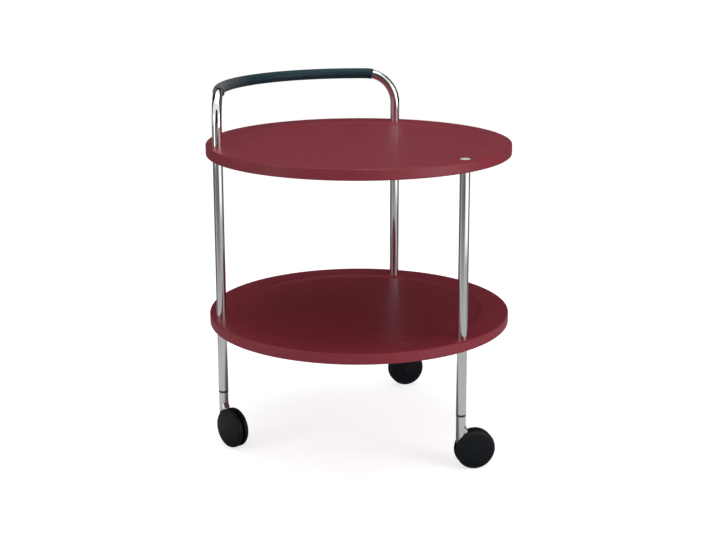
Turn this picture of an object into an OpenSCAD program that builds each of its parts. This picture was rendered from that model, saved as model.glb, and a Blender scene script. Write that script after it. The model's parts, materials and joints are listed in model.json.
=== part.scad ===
// Serving trolley: two round lacquered trays clamped between three chromed tubes, a curved tube
// handle with a leather sleeve, and three twin-wheel casters.
// The origin is on the floor, on the axis of the trays. +Z is up. Sizes are in millimetres.

/* [Trays] */
// Diameter of both round trays
tray_d = 500; // [440:5:600]
// Thickness of a tray board
tray_t = 18; // [14:0.5:22]
// Width of the flat rim round the milled recess
rim_w = 44; // [34:1:60]
// Depth of the milled recess
recess_depth = 3; // [1.5:0.1:3.8]
// Radius of the soft step round the recess
recess_cove_r = 24; // [8:1:40]
// Radius of the rounded edges of a tray
tray_edge_r = 2; // [0.5:0.1:4]
// Height of the lower tray's rim above the floor
lower_tray_h = 220; // [180:1:260]
// Height of the upper tray's rim above the floor
upper_tray_h = 503; // [420:1:620]

/* [Tubes] */
// Outside diameter of the leg and handle tubes
tube_d = 16; // [14:0.5:20]
// Wall of the tubes
tube_wall = 1.5; // [1:0.1:1.8]
// Distance from the edge of a tray to the axis of a leg
leg_inset = 17; // [14:0.5:20]

/* [Handle] */
// Height of the handle's centre line above the upper tray's rim
handle_rise = 84; // [70:1:140]
// Bend radius of the handle's centre line over each leg
handle_bend_r = 52; // [30:1:60]
// Half angle of the handle's arc, seen from above
handle_half_angle = 47; // [40:0.5:56]
// Wall of the leather sleeve
sleeve_t = 1.1; // [0.8:0.1:3]
// Length of each bend that the sleeve covers
sleeve_wrap = 12; // [1:0.5:30]

/* [Fasteners] */
// Thread diameter of the studs through the trays
stud_d = 8; // [6:0.5:9]
// Length of thread on each side of a tray
stud_grip = 16; // [10:1:18]
// Length of a threaded insert in a tube end
insert_l = 20; // [18:1:30]
// Diameter of the bright bolt head over the front leg
cap_d = 16.5; // [13:0.5:20]
// Thickness of the bolt head's edge, sunk in the tray
cap_t = 2.6; // [1.5:0.1:4]
// Rise of the bolt head's dome above the tray's rim
cap_rise = 1.5; // [0.5:0.1:2.5]
// Thickness of a push-on clip on an axle end
clip_t = 0.8; // [0.5:0.1:1]
// Outside diameter of a push-on clip
clip_d = 12; // [10:0.5:18]

/* [Casters] */
// Height of the caster's top face above the floor
caster_h = 89.5; // [86:0.5:110]
// Diameter of the caster's neck
neck_d = 15.2; // [14.5:0.1:16]
// Rounding of the neck's top edge
neck_edge = 0.5; // [0.2:0.1:1]
// Diameter of the round arm that slants back from the neck
arm_d = 13.2; // [11:0.1:14]
// Height at which the arm's axis meets the swivel axis, on its way to the axle
arm_h = 72; // [68:0.5:76]
// Height at which the neck's straight front turns in towards the axle
neck_front_h = 43; // [40:0.5:50]
// Thickness of the blade between the wheels
blade_t = 5; // [3:0.1:6]
// Distance from the swivel axis to the wheel axle
caster_trail = 23.5; // [18:0.5:26]
// Diameter of the swivel stem
stem_d = 8; // [6:0.5:9]
// Length of the stem in the socket
stem_grip = 32; // [20:1:40]
// Thickness of the socket's closed end over the stem
socket_roof = 3; // [1:0.5:6]
// Depth to which the stem is pressed into the neck
stem_seat = 15; // [8:1:18]
// Thickness of the socket's flange, the dark ring under the leg
flange_t = 2.8; // [1.5:0.1:4]
// Heading of the front caster, from the swivel axis towards the axle, seen from above
front_heading = 15; // [-180:1:180]
// Heading of the left caster
left_heading = -48; // [-180:1:180]
// Heading of the back caster
back_heading = 19; // [-180:1:180]

/* [Wheels] */
// Diameter of a wheel over its tread
wheel_d = 65; // [58:0.5:70]
// Width of a wheel at the rim, from its inner face to the edge of its cover
wheel_w = 8.5; // [8:0.1:12]
// Radius of the tread's rounded shoulder
shoulder_r = 6; // [3:0.1:6.5]
// Rise of the cover's dome
dome_rise = 1.5; // [0.5:0.1:3]
// Depth of the soft tread under its top
tyre_depth = 5.5; // [3:0.1:7]
// Diameter of the axle
axle_d = 6; // [4:0.5:8]
// Diameter of the hub of a wheel
hub_d = 14; // [11:0.5:18]
// Wall of the rim under the tread
rim_wall = 3.5; // [2:0.1:5]
// Thickness of the web between hub and rim
web_t = 2; // [1.2:0.1:3]
// Number of ribs on the web
rib_count = 8; // [4:1:12]
// Thickness of a rib
rib_t = 1.4; // [1:0.1:2.5]
// Wall of the domed cover
cover_t = 1.5; // [1:0.1:2]
// Wall of the skirt that snaps the cover into the rim
skirt_t = 1.4; // [1:0.1:2]
// Depth of the skirt in the rim
skirt_depth = 1.8; // [1:0.1:2]

/* [Clearances] */
// Radial clearance of a pin that turns in a bore
running_gap = 0.05; // [0.02:0.01:0.1]
// Radial gap of a pressed or screwed fit
press_gap = 0.02; // [0.01:0.01:0.05]
// Axial gap between pieces that turn on each other
axial_gap = 0.3; // [0.2:0.05:0.5]
// Length by which a hub stands inwards of its wheel
hub_stand = 0.2; // [0.1:0.05:0.5]
// Length of the axle past its clip
axle_tip = 0.3; // [0.1:0.05:0.5]
// Gap between the neck and the wheels beside and under it
wheel_clearance = 1; // [0.6:0.1:2]
// Radial clearance of a stud in its hole in a tray
stud_clearance = 0.2; // [0.1:0.05:0.5]
// Gap between the edge of a cover and the tread round it
cover_gap = 0.3; // [0.2:0.05:0.5]
// Gap between the skirt of a cover and the rim that it snaps into
snap_gap = 0.1; // [0.05:0.05:0.2]
// Gap between the back of a cover and the rim or axle under it
seat_gap = 0.2; // [0.1:0.05:0.3]
// Gap between the ribs of a wheel and the skirt of its cover
rib_gap = 0.6; // [0.3:0.1:1]

/* [Hidden] */
$fn = 128;

// The three legs, by number, and the direction of each seen from above
front = 0;
left = 1;
back = 2;
leg_azimuth = [-45, 195, 75];
heading = [front_heading, left_heading, back_heading];
handle_azimuth = 135;

// The two sides of a caster: the wheel on its left and the wheel on its right
side_a = 1;
side_b = -1;

tray_r = tray_d / 2;
leg_r = tray_r - leg_inset;
recess_r = tray_r - rim_w;
tube_r = tube_d / 2;
bore_r = tube_r - tube_wall;
insert_r = bore_r - press_gap;
stud_r = stud_d / 2;
cap_r = cap_d / 2;
cap_dome_r = (cap_r * cap_r + cap_rise * cap_rise) / (2 * cap_rise);

// The handle's arc starts where each bend ends, and runs on smoothly from it
handle_h = upper_tray_h + handle_rise;
leg_out = leg_r * cos(60);
leg_side = leg_r * sin(60);
arc_r = (leg_side - handle_bend_r * cos(handle_half_angle)) / sin(handle_half_angle);
wrap_angle = sleeve_wrap / handle_bend_r * 180 / PI;
sleeve_in_r = tube_r + press_gap;

socket_z = caster_h + axial_gap;
leg_foot_z = socket_z + flange_t;
stem_top_z = leg_foot_z + stem_grip;

stem_r = stem_d / 2;
neck_r = neck_d / 2;
arm_r = arm_d / 2;
wheel_r = wheel_d / 2;
axle_r = axle_d / 2;
hub_r = hub_d / 2;
boss_r = hub_r;
// The arm runs down to the axle at this slant from the swivel axis
arm_drop = arm_h - wheel_r;
arm_slant = atan(caster_trail / arm_drop);
// The blade's edges lie this far inside the round neck, the arm and the boss that they run into
blade_inset = 0.6;

// Places along the axle, measured outwards from the middle of the caster
hub_inner_y = blade_t / 2 + axial_gap;
inner_y = hub_inner_y + hub_stand;
face_y = inner_y + wheel_w;
tread_y = face_y - shoulder_r;
rim_outer_y = face_y - cover_t - seat_gap;
skirt_y = rim_outer_y - skirt_depth;
rib_top_y = skirt_y - rib_gap;
axle_end_y = rim_outer_y - seat_gap;
clip_y = axle_end_y - axle_tip - clip_t;
hub_outer_y = clip_y - axial_gap / 2;

tyre_in_r = wheel_r - tyre_depth;
rim_r = tyre_in_r - press_gap;
rim_in_r = rim_r - rim_wall;
cover_r = tyre_in_r - cover_gap;
dome_r = (cover_r * cover_r + dome_rise * dome_rise) / (2 * dome_rise);
dome_y = face_y + dome_rise - dome_r;
skirt_r = rim_in_r - snap_gap;
// Longer than any section that it cuts
far = 2 * tray_d;

// Places its children at a leg, on the floor
module at_leg(leg) {
    rotate([0, 0, leg_azimuth[leg]]) translate([leg_r, 0, 0]) children();
}

// Places its children at a caster: +X points from the swivel axis towards the axle
module at_caster(leg) {
    at_leg(leg) rotate([0, 0, heading[leg] - leg_azimuth[leg]]) children();
}

// Turns a section about the axle, outwards from the middle of the caster
module at_wheel(leg, side) {
    at_caster(leg) translate([caster_trail, 0, wheel_r]) rotate([-90 * side, 0, 0]) children();
}

// A cylinder between two heights
module post(r, z0, z1) {
    translate([0, 0, z0]) cylinder(r = r, h = z1 - z0);
}

// A tube between two heights
module tube(r_out, r_in, z0, z1) {
    difference() {
        post(r_out, z0, z1);
        post(r_in, z0 - 1, z1 + 1);
    }
}

// A ring section for bent tubes
module ring_section(r_out, r_in) {
    difference() {
        circle(r_out);
        circle(r_in);
    }
}

// One quarter of the waste outside a rounded corner at the origin, for a corner that points to +X +Y
module corner_waste(r) {
    difference() {
        translate([-r, -r]) square([r + 1, r + 1]);
        translate([-r, -r]) circle(r);
        translate([-2 * r, -2 * r]) square([r, 3 * r + 2]);
        translate([-2 * r, -2 * r]) square([3 * r + 2, r]);
    }
}

// Half section of the recess: a flat floor and a soft step of recess_cove_r up to the rim
module recess_section() {
    step_w = sqrt(pow(recess_cove_r, 2) - pow(recess_cove_r - recess_depth, 2));
    floor_r = recess_r - step_w;
    translate([0, tray_t - recess_depth]) square([floor_r, recess_depth + 1]);
    intersection() {
        translate([floor_r, tray_t - recess_depth + recess_cove_r]) circle(recess_cove_r);
        translate([0, tray_t - recess_depth]) square([far, recess_depth]);
    }
}

module tray_section() {
    difference() {
        square([tray_r, tray_t]);
        recess_section();
        translate([tray_r, tray_t]) corner_waste(tray_edge_r);
        translate([tray_r, 0]) mirror([0, 1]) corner_waste(tray_edge_r);
    }
}

// A tray with a stud hole at each leg
module tray(rim_h) {
    difference() {
        translate([0, 0, rim_h - tray_t]) rotate_extrude() tray_section();
        for (leg = [front, left, back])
            at_leg(leg) post(stud_r + stud_clearance, rim_h - tray_t - 1, rim_h + 1);
    }
}

module upper_tray() {
    color([0.49, 0.13, 0.16]) difference() {
        tray(upper_tray_h);
        at_leg(front) post(cap_r + stud_clearance, upper_tray_h - cap_t, upper_tray_h + 1);
    }
}

module lower_tray() {
    color([0.40, 0.09, 0.12]) tray(lower_tray_h);
}

// Places its children at the handle: +X points outwards, between the left and the back leg
module at_handle() {
    rotate([0, 0, handle_azimuth]) children();
}

// One half of the handle's curve: half of the level arc, and the bend over a leg from its top down
// to an angle. Children stand on the leg's axis. The arc runs a little past the middle and is cut
// off there, so that the two halves meet.
module handle_half(r_out, r_in, bend_angle) {
    difference() {
        translate([leg_out, leg_side, 0]) rotate([0, 0, handle_half_angle - 90]) {
            children();
            translate([handle_bend_r, 0, handle_h - handle_bend_r])
                rotate([90, 0, 0])
                    rotate([0, 0, 90])
                        rotate_extrude(angle = bend_angle)
                            translate([handle_bend_r, 0]) ring_section(r_out, r_in);
            translate([handle_bend_r, -arc_r, handle_h])
                rotate([0, 0, 90])
                    mirror([0, 1, 0])
                        rotate_extrude(angle = handle_half_angle + 1)
                            translate([arc_r, 0]) ring_section(r_out, r_in);
        }
        translate([0, -far, 0]) cube([far, far, far]);
    }
}

// The handle's tube from one leg to the middle of the arc
module tube_half() {
    handle_half(tube_r, bore_r, 90) tube(tube_r, bore_r, upper_tray_h, handle_h - handle_bend_r);
}

module sleeve_half() {
    handle_half(sleeve_in_r + sleeve_t, sleeve_in_r, wrap_angle);
}

module handle_tube() {
    color([0.80, 0.81, 0.82]) at_handle() {
        tube_half();
        mirror([0, 1, 0]) tube_half();
    }
}

module handle_sleeve() {
    color([0.09, 0.13, 0.17]) at_handle() {
        sleeve_half();
        mirror([0, 1, 0]) sleeve_half();
    }
}

module upper_leg(leg) {
    color([0.80, 0.81, 0.82]) at_leg(leg)
        tube(tube_r, bore_r, lower_tray_h, upper_tray_h - tray_t);
}

module lower_leg(leg) {
    color([0.80, 0.81, 0.82]) at_leg(leg)
        tube(tube_r, bore_r, leg_foot_z, lower_tray_h - tray_t);
}

// A threaded insert that starts at a height and goes up, or down where up is -1
module insert(z, up) {
    end = z + up * insert_l;
    tube(insert_r, stud_r + press_gap, min(z, end), max(z, end));
}

module handle_inserts() {
    color([0.62, 0.60, 0.55])
        for (leg = [left, back])
            at_leg(leg) insert(upper_tray_h, 1);
}

module upper_leg_inserts() {
    color([0.62, 0.60, 0.55])
        for (leg = [front, left, back])
            at_leg(leg) {
                insert(lower_tray_h, 1);
                insert(upper_tray_h - tray_t, -1);
            }
}

module lower_leg_inserts() {
    color([0.62, 0.60, 0.55])
        for (leg = [front, left, back])
            at_leg(leg) insert(lower_tray_h - tray_t, -1);
}

module upper_studs() {
    color([0.62, 0.60, 0.55])
        for (leg = [left, back])
            at_leg(leg) post(stud_r, upper_tray_h - tray_t - stud_grip, upper_tray_h + stud_grip);
}

module lower_studs() {
    color([0.62, 0.60, 0.55])
        for (leg = [front, left, back])
            at_leg(leg) post(stud_r, lower_tray_h - tray_t - stud_grip, lower_tray_h + stud_grip);
}

// The bolt over the front leg: a head with a low dome, whose edge is flush with the rim
module front_cap_bolt() {
    color([0.80, 0.81, 0.82]) at_leg(front) {
        translate([0, 0, upper_tray_h])
            rotate_extrude()
                intersection() {
                    translate([0, -cap_t]) square([cap_r, cap_t + cap_rise]);
                    translate([0, cap_rise - cap_dome_r]) circle(cap_dome_r);
                }
        post(stud_r, upper_tray_h - tray_t - stud_grip, upper_tray_h - cap_t);
    }
}

// The plastic socket in the foot of a leg, with the flange that shows as a dark ring
module socket(leg) {
    color([0.05, 0.05, 0.06]) at_leg(leg)
        difference() {
            union() {
                post(tube_r, socket_z, leg_foot_z);
                post(insert_r, leg_foot_z, stem_top_z + axial_gap + socket_roof);
            }
            post(stem_r + running_gap, socket_z - 1, stem_top_z + axial_gap);
        }
}

// A flat piece in the wheels' plane, centred on the middle of the caster
module plate(thickness) {
    rotate([90, 0, 0]) translate([0, 0, -thickness / 2]) linear_extrude(thickness) children();
}

// Outline of the blade, seen along the axle: it follows the neck's front, the boss and the back of
// the arm
module blade_outline() {
    nose = neck_r - blade_inset;
    boss_in = boss_r - blade_inset;
    arm_in = arm_r - blade_inset;
    polygon([
        [caster_trail + arm_in * cos(arm_slant), wheel_r + arm_in * sin(arm_slant)],
        [arm_in * cos(arm_slant), arm_h + arm_in * sin(arm_slant)],
        [-nose, arm_h], [-nose, neck_front_h],
        for (a = [210 : 50 : 310]) [caster_trail + boss_in * cos(a), wheel_r + boss_in * sin(a)],
    ]);
}

// The chromed neck: round where it meets the leg, an arm that slants back above the wheels, and a
// blade between them that carries the axle
module neck(leg) {
    color([0.80, 0.81, 0.82]) at_caster(leg)
        difference() {
            union() {
                difference() {
                    union() {
                        post(neck_r, wheel_r, caster_h - neck_edge);
                        translate([0, 0, caster_h - neck_edge])
                            cylinder(r1 = neck_r, r2 = neck_r - neck_edge, h = neck_edge);
                        translate([0, 0, arm_h]) rotate([0, 180 - arm_slant, 0])
                            cylinder(r = arm_r, h = arm_drop);
                    }
                    translate([caster_trail, 0, wheel_r])
                        rotate([90, 0, 0])
                            cylinder(r = wheel_r + wheel_clearance, h = 2 * neck_d, center = true);
                }
                plate(blade_t) {
                    blade_outline();
                    translate([caster_trail, wheel_r]) circle(boss_r);
                }
            }
            post(stem_r + press_gap, caster_h - stem_seat, caster_h + 1);
            translate([caster_trail, 0, wheel_r])
                rotate([90, 0, 0]) cylinder(r = axle_r + press_gap, h = 2 * neck_d, center = true);
        }
}

module stem(leg) {
    color([0.62, 0.60, 0.55]) at_leg(leg)
        post(stem_r, caster_h - stem_seat, stem_top_z);
}

module axle(leg) {
    color([0.62, 0.60, 0.55]) at_caster(leg)
        translate([caster_trail, 0, wheel_r])
            rotate([90, 0, 0]) cylinder(r = axle_r, h = 2 * axle_end_y, center = true);
}

// The two push-on clips that keep the wheels on the axle
module axle_clips(leg) {
    color([0.62, 0.60, 0.55])
        for (side = [side_a, side_b])
            at_wheel(leg, side) tube(clip_d / 2, axle_r + press_gap, clip_y, clip_y + clip_t);
}

// Half section of the tread: flat in the middle of the caster, with a rounded shoulder outside
module tyre_section() {
    intersection() {
        union() {
            translate([0, inner_y]) square([wheel_r, tread_y - inner_y]);
            translate([0, inner_y]) square([wheel_r - shoulder_r, wheel_w]);
            translate([wheel_r - shoulder_r, tread_y]) circle(shoulder_r);
        }
        translate([tyre_in_r, inner_y]) square([tyre_depth + 1, wheel_w + 1]);
    }
}

module tyre(leg, side) {
    color([0.06, 0.07, 0.08]) at_wheel(leg, side) rotate_extrude() tyre_section();
}

// The wheel's core: hub, web, ribs and rim
module core(leg, side) {
    color([0.10, 0.10, 0.11]) at_wheel(leg, side)
        difference() {
            union() {
                tube(rim_r, rim_in_r, inner_y, rim_outer_y);
                post(rim_in_r + rim_wall / 2, inner_y, inner_y + web_t);
                post(hub_r, hub_inner_y, hub_outer_y);
                for (rib = [0 : rib_count - 1])
                    rotate([0, 0, rib * 360 / rib_count])
                        translate([hub_r - rib_t, -rib_t / 2, inner_y])
                            cube([rim_in_r - hub_r + 2 * rib_t, rib_t, rib_top_y - inner_y]);
            }
            post(axle_r + running_gap, 0, face_y);
        }
}

// Half section of the domed cover, with the skirt that snaps into the rim
module cover_section() {
    intersection() {
        difference() {
            translate([0, dome_y]) circle(dome_r, $fn = 720);
            translate([0, dome_y]) circle(dome_r - cover_t, $fn = 720);
        }
        translate([0, inner_y]) square([cover_r, far]);
    }
    difference() {
        translate([skirt_r - skirt_t, skirt_y]) square([skirt_t, skirt_depth + cover_t]);
        translate([0, dome_y]) difference() {
            square([far, far]);
            circle(dome_r - cover_t / 2, $fn = 720);
        }
    }
}

module cover(leg, side) {
    color([0.09, 0.11, 0.12]) at_wheel(leg, side) rotate_extrude() cover_section();
}

upper_tray();
lower_tray();
handle_tube();
handle_sleeve();
upper_leg(front);  // upper_leg_front
upper_leg(left);  // upper_leg_left
upper_leg(back);  // upper_leg_back
lower_leg(front);  // lower_leg_front
lower_leg(left);  // lower_leg_left
lower_leg(back);  // lower_leg_back
handle_inserts();
upper_leg_inserts();
lower_leg_inserts();
upper_studs();
lower_studs();
front_cap_bolt();
socket(front);  // socket_front
socket(left);  // socket_left
socket(back);  // socket_back
neck(front);  // neck_front
neck(left);  // neck_left
neck(back);  // neck_back
stem(front);  // stem_front
stem(left);  // stem_left
stem(back);  // stem_back
axle(front);  // axle_front
axle(left);  // axle_left
axle(back);  // axle_back
axle_clips(front);  // axle_clips_front
axle_clips(left);  // axle_clips_left
axle_clips(back);  // axle_clips_back
core(front, side_a);  // core_front_a
core(front, side_b);  // core_front_b
core(left, side_a);  // core_left_a
core(left, side_b);  // core_left_b
core(back, side_a);  // core_back_a
core(back, side_b);  // core_back_b
tyre(front, side_a);  // tyre_front_a
tyre(front, side_b);  // tyre_front_b
tyre(left, side_a);  // tyre_left_a
tyre(left, side_b);  // tyre_left_b
tyre(back, side_a);  // tyre_back_a
tyre(back, side_b);  // tyre_back_b
cover(front, side_a);  // cover_front_a
cover(front, side_b);  // cover_front_b
cover(left, side_a);  // cover_left_a
cover(left, side_b);  // cover_left_b
cover(back, side_a);  // cover_back_a
cover(back, side_b);  // cover_back_b
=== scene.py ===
# Serving trolley: surface finishes, the sewn leather sleeve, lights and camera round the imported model.
# Lengths are in metres and angles in radians, and +Z is up.

import json
import math

import bmesh
import bpy
from bpy.props import FloatProperty, FloatVectorProperty, PointerProperty
from mathutils import Matrix, Vector


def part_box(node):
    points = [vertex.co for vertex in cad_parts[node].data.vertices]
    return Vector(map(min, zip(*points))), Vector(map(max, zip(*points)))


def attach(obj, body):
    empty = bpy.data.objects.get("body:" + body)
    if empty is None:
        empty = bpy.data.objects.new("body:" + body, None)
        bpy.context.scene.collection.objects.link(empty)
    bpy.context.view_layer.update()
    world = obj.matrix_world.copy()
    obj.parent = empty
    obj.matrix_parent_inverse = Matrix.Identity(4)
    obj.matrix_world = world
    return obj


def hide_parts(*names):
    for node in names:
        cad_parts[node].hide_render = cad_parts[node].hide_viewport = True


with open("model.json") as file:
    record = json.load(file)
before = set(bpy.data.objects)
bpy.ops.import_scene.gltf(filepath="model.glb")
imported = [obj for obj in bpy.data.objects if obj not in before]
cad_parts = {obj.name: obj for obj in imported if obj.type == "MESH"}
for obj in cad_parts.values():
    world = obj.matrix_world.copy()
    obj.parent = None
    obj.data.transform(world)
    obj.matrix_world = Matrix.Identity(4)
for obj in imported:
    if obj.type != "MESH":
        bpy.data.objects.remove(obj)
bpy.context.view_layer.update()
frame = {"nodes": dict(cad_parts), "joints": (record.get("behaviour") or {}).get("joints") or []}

bl_info = {
    "name": "Serving trolley",
    "version": (1, 0, 0),
    "blender": (4, 5, 0),
    "location": "View3D > Sidebar > Trolley",
    "description": "Finishes, leather sleeve, lights and camera of a round serving trolley",
    "category": "Object",
}

LEGS = ("front", "left", "back")
WHEELS = [f"{leg}_{side}" for leg in LEGS for side in "ab"]
SMOOTH_BELOW = math.radians(40)

# The mesh of the leather sleeve: steps along it, round it and round each edge of the seam
SLEEVE_STEPS, SLEEVE_SIDES, EDGE_STEPS = 120, 72, 6
# Rounding of the sleeve's ends, as a share of the leather's thickness
END_ROUNDING = 0.3
# How steeply the seam's edges part, and how far round the section the leather lifts beside them
PARTING_POWER = 1.5
FLARE_WIDTH = 1.3
# Share of the parted length that has no stitches, and share of the thread's width sunk in the leather
UNSEWN = 0.35
THREAD_SINK = 0.2
STITCH_SEGMENTS, STITCH_RINGS = 10, 8
# Small steps round the section and out from it, which give a stitch its directions
TURN_STEP, OUT_STEP = 0.05, 0.01

# The photograph's frame in pixels, and the camera's sensor in millimetres
IMAGE_WIDTH, IMAGE_HEIGHT = 716, 540
SENSOR_WIDTH = 36.0
FAR_CLIP = 60.0

# The floor: its own grey, the white added where it is seen directly, the share of that in metal and
# gloss, and half its width
FLOOR_GREY, FLOOR_LIFT, LIFT_IN_GLOSS, FLOOR_REACH = 0.8, 0.66, 0.6, 15

# Lamps: name, azimuth, distance, height, height that it faces on the axis, width and length. Azimuths
# are degrees to the right from the camera's side.
LAMPS = (
    ("top", 0, 0.0, 2.5, 0.4, 2.2, 1.6),
    ("side", 57, 2.2, 0.8, 0.35, 1.1, 1.4),
    ("left", -58, 2.2, 0.7, 0.35, 0.5, 1.2),
)

# What the chrome and the gloss show: glowing cards that light nothing and are painted reflections. Floor
# cards: name, start and end azimuth, and greys by distance from the axis, which follow the ones near the
# trolley. Screens, which stand where the floor cards end: name, start and end azimuth, lower and upper
# edge, and grey. The back card, in the trays' gloss: start and end azimuth, distance, lower and upper
# edge. A card has a corner every few degrees.
SCREEN_DISTANCE = 2.6
CARD_STEP = 4
FLOOR_CARD_START, FLOOR_CARD_HEIGHT = 0.01, 0.002
# Greys near the axis, dark within about 0.3 m: a painted shadow of the trolley on the floor, shown only
# in the chrome and gloss.
NEAR_FLOOR = ((0.0, 0.10), (0.20, 0.12), (0.26, 0.24), (0.30, 0.44), (0.36, 0.56), (0.60, 0.56))
FLOOR_CARDS = (
    ("left_back", -180, -84, ((0.70, 0.52), (1.00, 0.18), (1.30, 0.12))),
    ("left", -84, -57, ((1.40, 0.52), (1.80, 0.45), (2.10, 0.38), (2.40, 0.26))),
    ("front_left", -57, -8, ((1.00, 0.48), (1.30, 0.36), (1.60, 0.27), (2.00, 0.17), (2.60, 0.20))),
    ("front", -8, 16, ((1.15, 0.44), (1.40, 0.35), (1.70, 0.26), (2.10, 0.14), (2.30, 0.09))),
    ("front_right", 16, 30, ((1.20, 0.48), (1.46, 0.58), (1.77, 0.72), (2.19, 0.95))),
    ("right", 30, 88, ((1.20, 0.50), (1.50, 0.48), (1.68, 1.00), (1.78, 1.35))),
    ("right_back", 88, 180, ((0.70, 0.52), (1.00, 0.22), (1.30, 0.12))),
)
SCREENS = (
    ("left_back", -180, -84, 0.0, 0.3, 0.17),
    ("left", -84, -57, 0.0, 0.8, 0.12),
    ("front_left", -57, -32, 0.0, 0.8, 0.29),
    ("front", -32, 0, 0.0, 0.8, 0.20),
    ("stripe", 0, 12, 0.0, 0.8, 0.005),
    ("white_foot", 16, 88, 0.0, 0.06, 1.30),
    ("front_right", 12, 48, 0.06, 0.8, 0.53),
    ("right", 48, 80, 0.06, 0.8, 0.25),
    ("right_side", 80, 112, 0.0, 0.3, 0.14),
    ("right_back", 112, 180, 0.0, 0.3, 0.20),
    ("over_front", -28, 28, 0.8, 3.2, 0.03),
    ("over_back", 84, 258, 0.3, 3.8, 0.01),
)
BACK_CARD = (118, 242, 0.62, 0.62, 0.98)


def joint_place(name):
    """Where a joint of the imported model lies."""
    joint = next(j for j in frame["joints"] if j["name"] == name)
    return Vector(joint["pos_m"])


class Value:
    """A number that varies over a surface. Arithmetic on it adds Math nodes."""

    def __init__(self, graph, socket):
        self.graph = graph
        self.socket = socket

    def maths(self, operation, *numbers):
        return self.graph.node("ShaderNodeMath", {"operation": operation}, dict(enumerate(numbers)))

    def maximum(self, other):
        return self.maths("MAXIMUM", self, other)

    def beside(self, output):
        """Another output of the same node."""
        return Value(self.graph, self.socket.node.outputs[output])

    def __add__(self, other):
        return self.maths("ADD", self, other)

    def __mul__(self, other):
        return self.maths("MULTIPLY", self, other)

    __radd__ = __add__
    __rmul__ = __mul__


class Graph:
    """The node tree of one material, or of the world."""

    def __init__(self, owner):
        owner.use_nodes = True
        self.owner = owner
        self.tree = owner.node_tree
        self.tree.nodes.clear()

    def node(self, kind, settings=None, inputs=None, output=0):
        """Adds a node: its settings first, then the values or links of its sockets."""
        made = self.tree.nodes.new(kind)
        for name, setting in (settings or {}).items():
            if name == "stops":
                self.set_stops(made.color_ramp, setting)
            else:
                setattr(made, name, setting)
        for name, value in (inputs or {}).items():
            if isinstance(value, Value):
                self.tree.links.new(value.socket, made.inputs[name])
            else:
                made.inputs[name].default_value = value
        return Value(self, made.outputs[output]) if made.outputs else None

    @staticmethod
    def set_stops(ramp, stops):
        """Sets a colour ramp's stops, each a place from 0 to 1 and a grey."""
        while len(ramp.elements) < len(stops):
            ramp.elements.new(1.0)
        for element, (position, grey) in zip(ramp.elements, stops):
            element.position = position
            element.color = (grey, grey, grey, 1)

    def coordinates(self):
        return self.node("ShaderNodeTexCoord", output="Object")

    def noise(self, scale, detail=2.0, roughness=0.5, vector=None):
        vector = vector or self.coordinates()
        inputs = {"Vector": vector, "Scale": scale, "Detail": detail, "Roughness": roughness}
        return self.node("ShaderNodeTexNoise", {}, inputs, "Fac")

    def spread(self, value, low, high):
        """Maps 0 to 1 onto a range."""
        return value * (high - low) + low

    def ramp(self, value, stops):
        return self.node("ShaderNodeValToRGB", {"stops": stops}, {"Fac": value}, "Color")

    def blend(self, factor, first, second):
        """A colour between two, which are sockets 6 and 7 of the Mix node. The mixed one is output 2."""
        return self.node("ShaderNodeMix", {"data_type": "RGBA"}, {0: factor, 6: first, 7: second}, 2)

    def stretched(self, x, y, z):
        """Object coordinates, scaled along each axis."""
        return self.node("ShaderNodeMapping", {}, {"Vector": self.coordinates(), "Scale": (x, y, z)})

    def bump(self, height, depth, strength=1.0, normal=None):
        inputs = {"Height": height, "Distance": depth, "Strength": strength}
        if normal:
            inputs["Normal"] = normal
        return self.node("ShaderNodeBump", {}, inputs, "Normal")

    def surface(self, **inputs):
        """The finished material, from the names of the shader's sockets with _ for spaces."""
        sockets = {name.replace("_", " "): value for name, value in inputs.items()}
        shader = self.node("ShaderNodeBsdfPrincipled", {}, sockets)
        self.node("ShaderNodeOutputMaterial", {}, {"Surface": shader})
        return self.owner


def new_graph(name):
    return Graph(bpy.data.materials.new(name))


def rgba(colour, factor=1.0):
    """A colour property as the four numbers that a socket takes, made lighter or darker."""
    return (colour[0] * factor, colour[1] * factor, colour[2] * factor, 1.0)


def dress(material, *nodes):
    """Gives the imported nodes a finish."""
    for name in nodes:
        for slot in frame["nodes"][name].material_slots:
            slot.material = material


def link_object(name, data):
    """An object in the scene, made from its data."""
    made = bpy.data.objects.new(name, data)
    bpy.context.scene.collection.objects.link(made)
    return made


def link_mesh(mesh, name, material):
    """An object in the scene, made from a bmesh, which is used up."""
    data = bpy.data.meshes.new(name)
    mesh.to_mesh(data)
    mesh.free()
    data.materials.append(material)
    return link_object(name, data)


def finish_piece(mesh, name, material, body):
    """Makes a bmesh a piece that rides on a body."""
    piece = link_mesh(mesh, name, material)
    piece.data.shade_smooth()
    piece.data.set_sharp_from_angle(angle=SMOOTH_BELOW)
    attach(piece, body)
    return piece


def colour_setting(name, description, default):
    return FloatVectorProperty(
        name=name, description=description, default=default, subtype="COLOR", size=3, min=0, max=1)


def share_setting(name, description, default):
    """A number from 0 to 1."""
    return FloatProperty(
        name=name, description=description, default=default, subtype="FACTOR", min=0, max=1)


def length_setting(name, description, default):
    return FloatProperty(
        name=name, description=description, default=default, subtype="DISTANCE", unit="LENGTH")


def angle_setting(name, description, degrees):
    return FloatProperty(
        name=name, description=description, default=math.radians(degrees), subtype="ANGLE",
        unit="ROTATION")


def power_setting(name, description, watts):
    return FloatProperty(
        name=name, description=description, default=watts, subtype="POWER", unit="POWER")


class TrolleyTrays(bpy.types.PropertyGroup):
    colour: colour_setting("Lacquer", "Colour of the lacquer on both trays", (0.24, 0.013, 0.029))
    roughness: share_setting("Roughness", "Roughness of the lacquer", 0.55)
    coat: share_setting("Coat", "Weight of the clear coat", 0.1)
    coat_roughness: share_setting("Coat roughness", "Roughness of the clear coat", 0.25)
    peel_size: length_setting("Peel size", "Width of the ripples in the sprayed lacquer", 0.0035)


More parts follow.
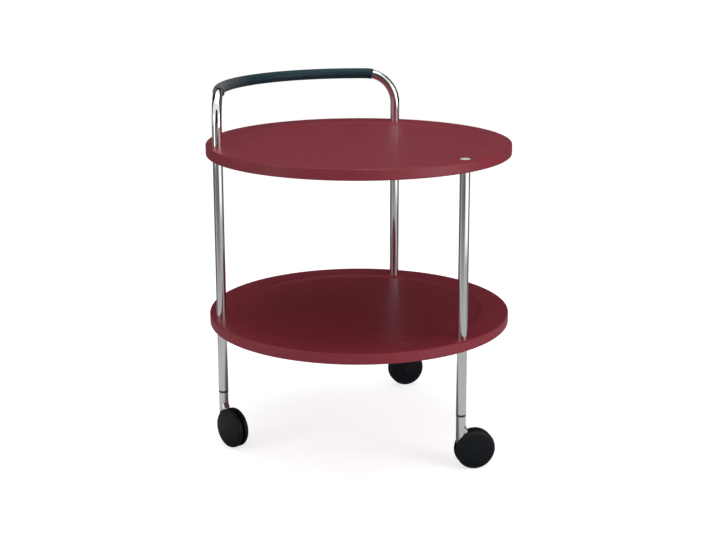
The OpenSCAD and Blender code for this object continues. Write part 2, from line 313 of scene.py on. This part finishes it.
class TrolleyMetal(bpy.types.PropertyGroup):
    colour: colour_setting("Chrome", "Colour of the chromed tubes and necks", (0.76, 0.77, 0.77))
    roughness: share_setting("Roughness", "Roughness of the polished chrome", 0.07)
    bolt_roughness: share_setting(
        "Bolt roughness", "Roughness of the satin-finished head of the front bolt", 0.34)
    zinc_colour: colour_setting("Zinc", "Colour of the zinc-plated fasteners", (0.60, 0.58, 0.53))


class TrolleySleeve(bpy.types.PropertyGroup):
    colour: colour_setting("Leather", "Colour of the leather", (0.015, 0.052, 0.068))
    roughness: share_setting("Roughness", "Roughness of the leather", 0.50)
    # The paler colour at the left end is a painted sheen; the clear coat over it is real gloss.
    painted_sheen_colour: colour_setting(
        "Painted sheen", "Paler colour painted on the leather at the left end as a sheen",
        (0.125, 0.135, 0.130))
    sheen_coat_roughness: share_setting(
        "Sheen coat roughness", "Roughness of the clear coat over the painted sheen", 0.28)
    sheen_length: length_setting(
        "Sheen length", "Distance from the left leg at which the painted sheen and its coat have faded into the rest",
        0.18)
    grain_size: length_setting("Grain size", "Width of a pebble of the grain", 0.0011)
    thickness: length_setting("Thickness", "Thickness of the leather", 0.0011)
    bend_radius: length_setting("Bend radius", "Bend radius of the handle over each leg", 0.052)
    arc_angle: angle_setting("Arc", "Half angle of the handle's arc, seen from above", 47)
    wrap_length: length_setting("Wrap", "Length of each bend that the sleeve covers", 0.012)
    seam_angle: angle_setting("Seam", "Angle of the seam below the handle's inner side", 20)
    seam_gap: length_setting("Seam gap", "Gap between the leather's edges along the seam", 0.0003)
    parting: length_setting(
        "Parting", "Gap between the edges at the left end, where they have parted", 0.0020)
    parting_length: length_setting(
        "Parting length", "Length over which the edges close again", 0.075)
    flare: length_setting("Flare", "Lift of the leather beside the seam at the left end", 0.0022)
    flare_length: length_setting(
        "Flare length", "Length over which the lifted leather comes back to the tube", 0.035)
    stitch_pitch: length_setting("Stitch pitch", "Distance from one stitch to the next", 0.0045)
    stitch_length: length_setting("Stitch length", "Length of a stitch across the seam", 0.0030)
    thread_width: length_setting("Thread", "Thickness of the waxed thread", 0.0006)


class TrolleyWheels(bpy.types.PropertyGroup):
    cover_colour: colour_setting("Cover", "Colour of the domed wheel covers", (0.004, 0.006, 0.009))
    tread_colour: colour_setting("Tread", "Colour of the soft treads", (0.006, 0.007, 0.007))
    socket_colour: colour_setting(
        "Sockets", "Colour of the plastic sockets and wheel cores", (0.012, 0.012, 0.013))


class TrolleyStage(bpy.types.PropertyGroup):
    focal_length: FloatProperty(
        name="Focal length", description="Focal length in millimetres on a 36 mm sensor", default=67.69)
    distance: length_setting("Distance", "Distance of the camera from the axis of the trays", 2.1806)
    height: length_setting("Height", "Height of the camera above the floor", 0.8692)
    bearing: angle_setting("Bearing", "Angle of the camera's place to the right of straight ahead", 1.14)
    aim_left: angle_setting("Aim", "Angle of the line of sight to the left of straight ahead", 1.182)
    pitch: angle_setting("Pitch", "Angle of the line of sight below the horizon", 13.243)
    roll: angle_setting("Roll", "Turn of the camera about its line of sight", -0.1)
    centre_row: FloatProperty(
        name="Optical centre", description="Row of the image that the line of sight meets, of 540",
        default=228.0)
    fill: FloatProperty(
        name="Fill", description="Strength of the even light from all round", default=0.42)
    back_grey: share_setting(
        "Back card", "Grey of the card behind the trolley that only gloss shows", 0.16)
    top_power: power_setting("Top light", "Power of the soft light overhead", 15.6)
    side_power: power_setting("Side light", "Power of the soft light on the right", 19.0)
    left_power: power_setting("Left light", "Power of the weak light on the left", 6.0)


def lacquer_material(look):
    """Sprayed satin lacquer: a deep even colour, faint ripples, and a thin clear coat."""
    graph = new_graph("wine_lacquer")
    cloud = graph.noise(scale=9.0, detail=3.0)
    colour = graph.blend(cloud, rgba(look.colour, 0.94), rgba(look.colour, 1.06))
    ripple = graph.noise(scale=1.0 / look.peel_size, detail=1.5)
    dust = graph.noise(scale=2600.0, detail=1.0)
    relief = graph.bump(ripple, depth=0.00002, strength=0.35)
    relief = graph.bump(dust, depth=0.000004, strength=0.25, normal=relief)
    haze = graph.noise(scale=34.0, detail=4.0)
    return graph.surface(
        Base_Color=colour, Roughness=graph.spread(haze, look.roughness - 0.04, look.roughness + 0.05),
        IOR=1.45, Specular_IOR_Level=0.5, Normal=relief,
        Coat_Weight=look.coat, Coat_Roughness=look.coat_roughness, Coat_IOR=1.5)


def bolt_material(look):
    """Satin chrome with fine turning marks."""
    graph = new_graph("satin_chrome")
    marks = graph.noise(scale=1800.0)
    rough = graph.spread(marks, look.bolt_roughness - 0.04, look.bolt_roughness + 0.04)
    return graph.surface(
        Base_Color=rgba(look.colour, 1.2), Metallic=0.4, Roughness=rough,
        Normal=graph.bump(marks, depth=0.000004, strength=0.4))


def chrome_material(look):
    """Polished chrome with the faint lengthwise draw of a tube and a few soft smudges."""
    graph = new_graph("polished_chrome")
    smudge = graph.ramp(graph.noise(scale=22.0, detail=4.0, roughness=0.6), [(0.45, 0.0), (0.75, 1.0)])
    rough = graph.spread(smudge, look.roughness, look.roughness + 0.05)
    draw = graph.noise(scale=1.0, vector=graph.stretched(1500.0, 1500.0, 14.0))
    colour = graph.blend(smudge, rgba(look.colour), rgba(look.colour, 0.93))
    return graph.surface(
        Base_Color=colour, Metallic=1.0, Roughness=rough,
        Normal=graph.bump(draw, depth=0.000003, strength=0.3))


def zinc_material(look):
    """Zinc plate: dull, slightly yellow, with a fine crystalline mottle."""
    graph = new_graph("zinc_plate")
    mottle = graph.noise(scale=420.0, detail=3.0)
    colour = graph.blend(mottle, rgba(look.zinc_colour, 0.85), rgba(look.zinc_colour, 1.05))
    rough = graph.spread(mottle, 0.28, 0.42)
    return graph.surface(
        Base_Color=colour, Metallic=1.0, Roughness=rough,
        Normal=graph.bump(mottle, depth=0.00001, strength=0.4))


def leather_material(look):
    """Full-grain leather: pebbles with darker creases between them and a finer grain over both. Towards
    the left leg a paler colour is painted on as a sheen, under a clear coat that makes it shinier."""
    graph = new_graph("petrol_leather")
    pebble = graph.node(
        "ShaderNodeTexVoronoi", {"feature": "F1"},
        {"Vector": graph.coordinates(), "Scale": 1.0 / look.grain_size}, "Distance")
    crease = graph.ramp(pebble, [(0.25, 1.0), (0.75, 0.0)])
    fine = graph.noise(scale=2.4 / look.grain_size, detail=3.0)
    shade = graph.noise(scale=26.0, detail=4.0)
    colour = graph.blend(shade, rgba(look.colour, 0.75), rgba(look.colour, 1.35))
    colour = graph.blend(crease, rgba(look.colour, 0.45), colour)
    relief = graph.bump(crease * 0.7 + fine * 0.3, depth=0.00012, strength=0.55)
    rough = graph.spread(shade, look.roughness - 0.06, look.roughness + 0.10)
    left_leg = joint_place("swivel_left")
    reach = graph.node(
        "ShaderNodeVectorMath", {"operation": "DISTANCE"},
        {0: graph.stretched(1, 1, 0), 1: (left_leg.x, left_leg.y, 0)}, "Value")
    # Towards the left leg a paler colour is painted on as a sheen, and a clear coat grows over it.
    polished = graph.ramp(reach * (1 / look.sheen_length), [(0.2, 1.0), (1.0, 0.0)])
    colour = graph.blend(polished, colour, rgba(look.painted_sheen_colour))
    return graph.surface(
        Base_Color=colour, Roughness=rough, IOR=1.48, Specular_IOR_Level=0.2, Normal=relief,
        Coat_Weight=polished, Coat_Roughness=look.sheen_coat_roughness)


def thread_material(look):
    """Waxed thread with a fine fibrous mottle."""
    graph = new_graph("waxed_thread")
    strand = graph.noise(scale=2200.0)
    colour = graph.blend(strand, rgba(look.colour, 0.5), rgba(look.colour, 1.1))
    return graph.surface(
        Base_Color=colour, Roughness=0.42, Normal=graph.bump(strand, depth=0.00005, strength=0.6))


def cover_material(look):
    """Moulded satin plastic: a fine etched texture and a faint mottle."""
    graph = new_graph("satin_black_plastic")
    etch = graph.noise(scale=3600.0)
    cloud = graph.noise(scale=60.0, detail=3.0)
    colour = graph.blend(cloud, rgba(look.cover_colour, 0.8), rgba(look.cover_colour, 1.25))
    rough = graph.spread(cloud, 0.32, 0.42)
    return graph.surface(
        Base_Color=colour, Roughness=rough, IOR=1.5, Specular_IOR_Level=0.16,
        Normal=graph.bump(etch, depth=0.000012, strength=0.5))


def tread_material(look):
    """Soft black rubber with a bloom of grey dust."""
    graph = new_graph("soft_tread")
    dust = graph.ramp(graph.noise(scale=90.0, detail=5.0, roughness=0.6), [(0.45, 0.0), (0.8, 1.0)])
    colour = graph.blend(dust, rgba(look.tread_colour), rgba(look.tread_colour, 2.0))
    grain = graph.noise(scale=2400.0, detail=3.0)
    rough = graph.spread(dust, 0.52, 0.66)
    return graph.surface(
        Base_Color=colour, Roughness=rough, IOR=1.5, Specular_IOR_Level=0.2,
        Normal=graph.bump(grain, depth=0.00003, strength=0.5))


def socket_material(look):
    """Matte black plastic."""
    graph = new_graph("matte_black_plastic")
    grain = graph.noise(scale=1900.0)
    colour = graph.blend(grain, rgba(look.socket_colour, 0.8), rgba(look.socket_colour, 1.3))
    return graph.surface(
        Base_Color=colour, Roughness=graph.spread(grain, 0.45, 0.6),
        Normal=graph.bump(grain, depth=0.00002, strength=0.4))


class TROLLEY_OT_trays(bpy.types.Operator):
    """Lacquers the two trays"""

    bl_idname = "trolley.trays"
    bl_label = "Trays"

    def execute(self, context):
        dress(lacquer_material(context.scene.trolley_trays), "upper_tray", "lower_tray")
        return {"FINISHED"}


class TROLLEY_OT_metal(bpy.types.Operator):
    """Chromes the tubes, the necks and the bolt, and plates the fasteners inside them"""

    bl_idname = "trolley.metal"
    bl_label = "Metal parts"

    def execute(self, context):
        look = context.scene.trolley_metal
        dress(bolt_material(look), "front_cap_bolt")
        dress(chrome_material(look), "handle_tube",
              *[f"{tier}_leg_{leg}" for tier in ("upper", "lower") for leg in LEGS],
              *[f"neck_{leg}" for leg in LEGS])
        dress(zinc_material(look), "handle_inserts", "upper_leg_inserts", "lower_leg_inserts",
              "upper_studs", "lower_studs",
              *[f"{part}_{leg}" for part in ("stem", "axle", "axle_clips") for leg in LEGS])
        return {"FINISHED"}


class HandlePath:
    """The handle's centre line under its sleeve: a level arc and the start of a bend at each end,
    worked out from the legs that it stands on."""

    def __init__(self, look):
        left, back = joint_place("swivel_left"), joint_place("swivel_back")
        middle = (left + back) / 2
        self.outwards = Vector((middle.x, middle.y, 0)).normalized()
        side = (left - back).length / 2
        self.bend = look.bend_radius
        self.radius = (side - self.bend * math.cos(look.arc_angle)) / math.sin(look.arc_angle)
        reach = Vector((middle.x, middle.y, 0)).length
        centre_out = reach + self.bend * math.sin(look.arc_angle) - self.radius * math.cos(look.arc_angle)
        leg_low, leg_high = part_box("upper_leg_front")
        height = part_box("handle_tube")[1].z - (leg_high.x - leg_low.x) / 2
        self.centre = self.outwards * centre_out + Vector((0, 0, height))
        self.half_arc = look.arc_angle * self.radius
        self.half_length = self.half_arc + look.wrap_length
        self.section_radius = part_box("handle_sleeve")[1].z - height

    def place(self, along, radius, turn):
        """A point by its distance along the path, and by its radius and turn in the section.
        The distance starts in the middle and grows towards the left leg. The turn starts on the
        inner side and goes downwards."""
        level = max(-self.half_arc, min(self.half_arc, along))
        bent = abs(along - level) / self.bend
        up = Vector((0, 0, 1))
        arm = Matrix.Rotation(level / self.radius, 3, "Z") @ self.outwards
        onwards = up.cross(arm) * math.copysign(1.0, along)
        middle = self.centre + arm * self.radius
        middle += self.bend * (onwards * math.sin(bent) - up * (1 - math.cos(bent)))
        downwards = -(up * math.cos(bent) + onwards * math.sin(bent))
        return middle - arm * (radius * math.cos(turn)) + downwards * (radius * math.sin(turn))


def sleeve_outline(path, look):
    """Section of the leather, as radius and turn: a ring with a slit and rounded edges at the seam."""
    half = look.thickness / 2
    middle = path.section_radius - half
    edge = (look.seam_gap / 2 + half) / middle
    sweep = 2 * math.pi - 2 * edge
    outline = []
    for side in (1, -1):
        for i in range(SLEEVE_SIDES + 1):
            turn = edge + sweep * i / SLEEVE_SIDES
            outline.append((middle + side * half, look.seam_angle + side * turn))
        for i in range(1, EDGE_STEPS):
            turn = math.pi / 2 * (1 - 2 * i / EDGE_STEPS)
            outline.append((middle + side * half * math.sin(turn),
                            look.seam_angle - side * (edge - half * math.cos(turn) / middle)))
    return outline


def sleeve_piece(look, material):
    """Rolled leather: drawn out straight, its edges parted a little at the left end, and then laid
    along the handle."""
    path = HandlePath(look)
    mesh = bmesh.new()
    ring = [mesh.verts.new((-path.half_length, radius * math.cos(turn), radius * math.sin(turn)))
            for radius, turn in sleeve_outline(path, look)]
    first = [mesh.edges.new(pair) for pair in zip(ring, ring[1:] + ring[:1])]
    drawn = bmesh.ops.spin(
        mesh, geom=ring + first, cent=(0, 0, 0), axis=(1, 0, 0), angle=0,
        dvec=(2 * path.half_length / SLEEVE_STEPS, 0, 0), steps=SLEEVE_STEPS)
    last = [part for part in drawn["geom_last"] if isinstance(part, bmesh.types.BMEdge)]
    ends = [bmesh.ops.contextual_create(mesh, geom=loop)["faces"][0] for loop in (first, last)]
    rims = [edge for end in ends for edge in end.edges]
    bmesh.ops.bevel(mesh, geom=rims, offset=look.thickness * END_ROUNDING, affect="EDGES", segments=2,
                    profile=0.5, material=-1)
    for corner in mesh.verts:
        along, inwards, downwards = corner.co
        radius, turn = math.hypot(inwards, downwards), math.atan2(downwards, inwards)
        from_end = path.half_length - along
        from_seam = (turn - look.seam_angle + math.pi) % (2 * math.pi) - math.pi
        opened = max(0.0, 1 - from_end / look.parting_length) ** PARTING_POWER
        opened *= look.parting / 2 / path.section_radius
        shift = math.copysign(opened * (1 - abs(from_seam) / math.pi), from_seam)
        lifted = max(0.0, 1 - from_end / look.flare_length) * max(0.0, 1 - abs(from_seam) / FLARE_WIDTH)
        corner.co = path.place(along, radius + look.flare * lifted ** 2, turn + shift)
    bmesh.ops.recalc_face_normals(mesh, faces=mesh.faces)
    piece = finish_piece(mesh, "leather_sleeve", material, "frame")
    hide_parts("handle_sleeve")


def stitch_piece(look, material):
    """Stitches across the seam, from where the parted edges come close to the sleeve's back end."""
    path = HandlePath(look)
    mesh = bmesh.new()
    start = path.half_length - look.parting_length * UNSEWN
    count = int((start + path.half_length) / look.stitch_pitch)
    for i in range(count):
        along = start - i * look.stitch_pitch
        centre = path.place(along, path.section_radius - look.thread_width * THREAD_SINK, look.seam_angle)
        beside = path.place(along, path.section_radius, look.seam_angle + TURN_STEP)
        above = path.place(along, path.section_radius + OUT_STEP, look.seam_angle)
        across, outwards = (beside - centre).normalized(), (above - centre).normalized()
        across = (across - outwards * across.dot(outwards)).normalized()
        lengthwise = across.cross(outwards)
        size = Matrix.Diagonal((look.stitch_length / 2, look.thread_width / 2, look.thread_width / 2))
        turn = Matrix((across, lengthwise, outwards)).transposed() @ size
        bmesh.ops.create_uvsphere(
            mesh, u_segments=STITCH_SEGMENTS, v_segments=STITCH_RINGS, radius=1.0,
            matrix=Matrix.Translation(centre) @ turn.to_4x4())
    bmesh.ops.recalc_face_normals(mesh, faces=mesh.faces)
    finish_piece(mesh, "sleeve_stitches", material, "frame")


class TROLLEY_OT_sleeve(bpy.types.Operator):
    """Covers the handle with its leather sleeve"""

    bl_idname = "trolley.sleeve"
    bl_label = "Leather sleeve"

    def execute(self, context):
        look = context.scene.trolley_sleeve
        sleeve_piece(look, leather_material(look))
        stitch_piece(look, thread_material(look))
        return {"FINISHED"}


class TROLLEY_OT_wheels(bpy.types.Operator):
    """Finishes the six wheels and the three sockets"""

    bl_idname = "trolley.wheels"
    bl_label = "Wheels"

    def execute(self, context):
        look = context.scene.trolley_wheels
        dress(cover_material(look), *[f"cover_{wheel}" for wheel in WHEELS])
        dress(tread_material(look), *[f"tyre_{wheel}" for wheel in WHEELS])
        dress(socket_material(look), *[f"core_{wheel}" for wheel in WHEELS],
              *[f"socket_{leg}" for leg in LEGS])
        return {"FINISHED"}


def glow(graph, colour, strength):
    return graph.node("ShaderNodeEmission", {}, {"Color": colour, "Strength": strength})


def seen_directly(graph, in_gloss=1.0):
    """1 for what the camera sees, a share of it in metal and glass, and 0 for light on a surface."""
    camera = graph.node("ShaderNodeLightPath", output="Is Camera Ray")
    gloss = camera.beside("Is Glossy Ray").maximum(camera.beside("Is Transmission Ray"))
    return camera.maximum(gloss * in_gloss)


def make_world(fill):
    """White to look at, and an even dim light on the object."""
    graph = Graph(bpy.data.worlds.new("studio"))
    seen = seen_directly(graph)
    strength = graph.spread(seen, fill, 1.0)
    back = graph.node("ShaderNodeBackground", {}, {"Color": (1, 1, 1, 1), "Strength": strength})
    graph.node("ShaderNodeOutputWorld", {}, {"Surface": back})
    bpy.context.scene.world = graph.owner


def make_floor():
    """A pale floor that takes the object's shadow and is lifted to white away from it."""
    graph = new_graph("pale_floor")
    matte = graph.node("ShaderNodeBsdfDiffuse", {}, {"Color": rgba((FLOOR_GREY,) * 3)})
    lift = glow(graph, (1, 1, 1, 1), seen_directly(graph, LIFT_IN_GLOSS) * FLOOR_LIFT)
    both = graph.node("ShaderNodeAddShader", {}, {0: matte, 1: lift})
    graph.node("ShaderNodeOutputMaterial", {}, {"Surface": both})
    mesh = bmesh.new()
    bmesh.ops.create_grid(mesh, x_segments=1, y_segments=1, size=FLOOR_REACH)
    link_mesh(mesh, "floor", graph.owner)


def make_card(name, start, end, stops, section):
    """A card round the trolley that only metal and gloss show. Its section is spun from one azimuth to
    another, and has distances from the axis and heights. Its stops are distances and greys."""
    graph = new_graph(name)
    reach = graph.node("ShaderNodeVectorMath", {"operation": "LENGTH"}, {0: graph.coordinates()}, "Value")
    greys = [(distance / SCREEN_DISTANCE, grey) for distance, grey in stops]
    shade = graph.ramp(reach * (1 / SCREEN_DISTANCE), greys)
    graph.node("ShaderNodeOutputMaterial", {}, {"Surface": glow(graph, shade, 1.0)})
    mesh = bmesh.new()
    first = Matrix.Rotation(math.radians(start - 90), 3, "Z")
    corners = [mesh.verts.new(first @ Vector((distance, 0, height))) for distance, height in section]
    edges = [mesh.edges.new(pair) for pair in zip(corners, corners[1:])]
    bmesh.ops.spin(
        mesh, geom=corners + edges, cent=(0, 0, 0), axis=(0, 0, 1),
        angle=math.radians(end - start), steps=max(2, round((end - start) / CARD_STEP)))
    card = link_mesh(mesh, name, graph.owner)
    card.visible_camera = False
    card.visible_diffuse = False
    card.visible_shadow = False


def make_screen(name, start, end, distance, low, high, grey):
    """An upright card of one grey."""
    stops = [(0.0, grey), (SCREEN_DISTANCE, grey)]
    make_card(name, start, end, stops, ((distance, low), (distance, high)))


def make_lamp(name, place, target, width, length, power):
    """A soft rectangular lamp that faces its target."""
    data = bpy.data.lights.new(name, "AREA")
    data.shape = "RECTANGLE"
    data.size = width
    data.size_y = length
    data.energy = power
    lamp = link_object(name, data)
    lamp.location = place
    lamp.rotation_euler = (Vector(target) - Vector(place)).to_track_quat("-Z", "Y").to_euler()
    lamp.visible_camera = False


def around(azimuth, distance, height):
    """A place round the trolley. The azimuth goes right from the camera's side."""
    angle = math.radians(azimuth)
    return (distance * math.sin(angle), -distance * math.cos(angle), height)


def make_camera(look):
    """The camera, at the photograph's place and angle."""
    data = bpy.data.cameras.new("camera")
    data.sensor_width = SENSOR_WIDTH
    data.lens = look.focal_length
    data.shift_y = (look.centre_row - IMAGE_HEIGHT / 2) / IMAGE_WIDTH
    data.clip_end = FAR_CLIP
    camera = link_object("camera", data)
    ahead = Vector((
        -math.sin(look.aim_left) * math.cos(look.pitch),
        math.cos(look.aim_left) * math.cos(look.pitch),
        -math.sin(look.pitch)))
    right = Vector((math.cos(look.aim_left), math.sin(look.aim_left), 0))
    up = right.cross(ahead)
    rolled_right = math.cos(look.roll) * right + math.sin(look.roll) * up
    rolled_up = math.cos(look.roll) * up - math.sin(look.roll) * right
    turn = Matrix((rolled_right, rolled_up, -ahead)).transposed()
    camera.matrix_world = Matrix.Translation(around(
        math.degrees(look.bearing), look.distance, look.height)) @ turn.to_4x4()
    bpy.context.scene.camera = camera


class TROLLEY_OT_stage(bpy.types.Operator):
    """Sets up the floor, the lights, the cards that the chrome shows, and the camera"""

    bl_idname = "trolley.stage"
    bl_label = "Stage"

    def execute(self, context):
        look = context.scene.trolley_stage
        context.scene.view_settings.view_transform = "Standard"
        make_world(look.fill)
        make_floor()
        floor_section = ((FLOOR_CARD_START, FLOOR_CARD_HEIGHT), (SCREEN_DISTANCE, FLOOR_CARD_HEIGHT))
        for name, start, end, far in FLOOR_CARDS:
            make_card(f"floor_card_{name}", start, end, [*NEAR_FLOOR, *far], floor_section)
        for name, start, end, low, high, grey in SCREENS:
            make_screen(f"screen_{name}", start, end, SCREEN_DISTANCE, low, high, grey)
        make_screen("back_card", *BACK_CARD, look.back_grey)
        for name, azimuth, distance, height, facing, width, length in LAMPS:
            make_lamp(f"{name}_light", around(azimuth, distance, height), (0, 0, facing),
                      width, length, getattr(look, f"{name}_power"))
        make_camera(look)
        return {"FINISHED"}


class TROLLEY_PT_panel(bpy.types.Panel):
    bl_label = "Serving trolley"
    bl_idname = "TROLLEY_PT_panel"
    bl_space_type = "VIEW_3D"
    bl_region_type = "UI"
    bl_category = "Trolley"

    def draw(self, context):
        for operator, settings in STEPS:
            column = self.layout.column(align=True)
            column.operator(operator.bl_idname)
            group = getattr(context.scene, settings)
            for name in group.bl_rna.properties.keys():
                if name not in ("rna_type", "name"):
                    column.prop(group, name)


GROUPS = {
    "trolley_trays": TrolleyTrays,
    "trolley_metal": TrolleyMetal,
    "trolley_sleeve": TrolleySleeve,
    "trolley_wheels": TrolleyWheels,
    "trolley_stage": TrolleyStage,
}
STEPS = [
    (TROLLEY_OT_trays, "trolley_trays"),
    (TROLLEY_OT_metal, "trolley_metal"),
    (TROLLEY_OT_sleeve, "trolley_sleeve"),
    (TROLLEY_OT_wheels, "trolley_wheels"),
    (TROLLEY_OT_stage, "trolley_stage"),
]
CLASSES = [*GROUPS.values(), *[operator for operator, settings in STEPS], TROLLEY_PT_panel]


def register():
    for made in CLASSES:
        bpy.utils.register_class(made)
    for name, group in GROUPS.items():
        setattr(bpy.types.Scene, name, PointerProperty(type=group))


def unregister():
    for name in GROUPS:
        delattr(bpy.types.Scene, name)
    for made in reversed(CLASSES):
        bpy.utils.unregister_class(made)


def main():
    register()
    for operator, settings in STEPS:
        group, name = operator.bl_idname.split(".")
        getattr(getattr(bpy.ops, group), name)()


if __name__ == "__main__":
    main()
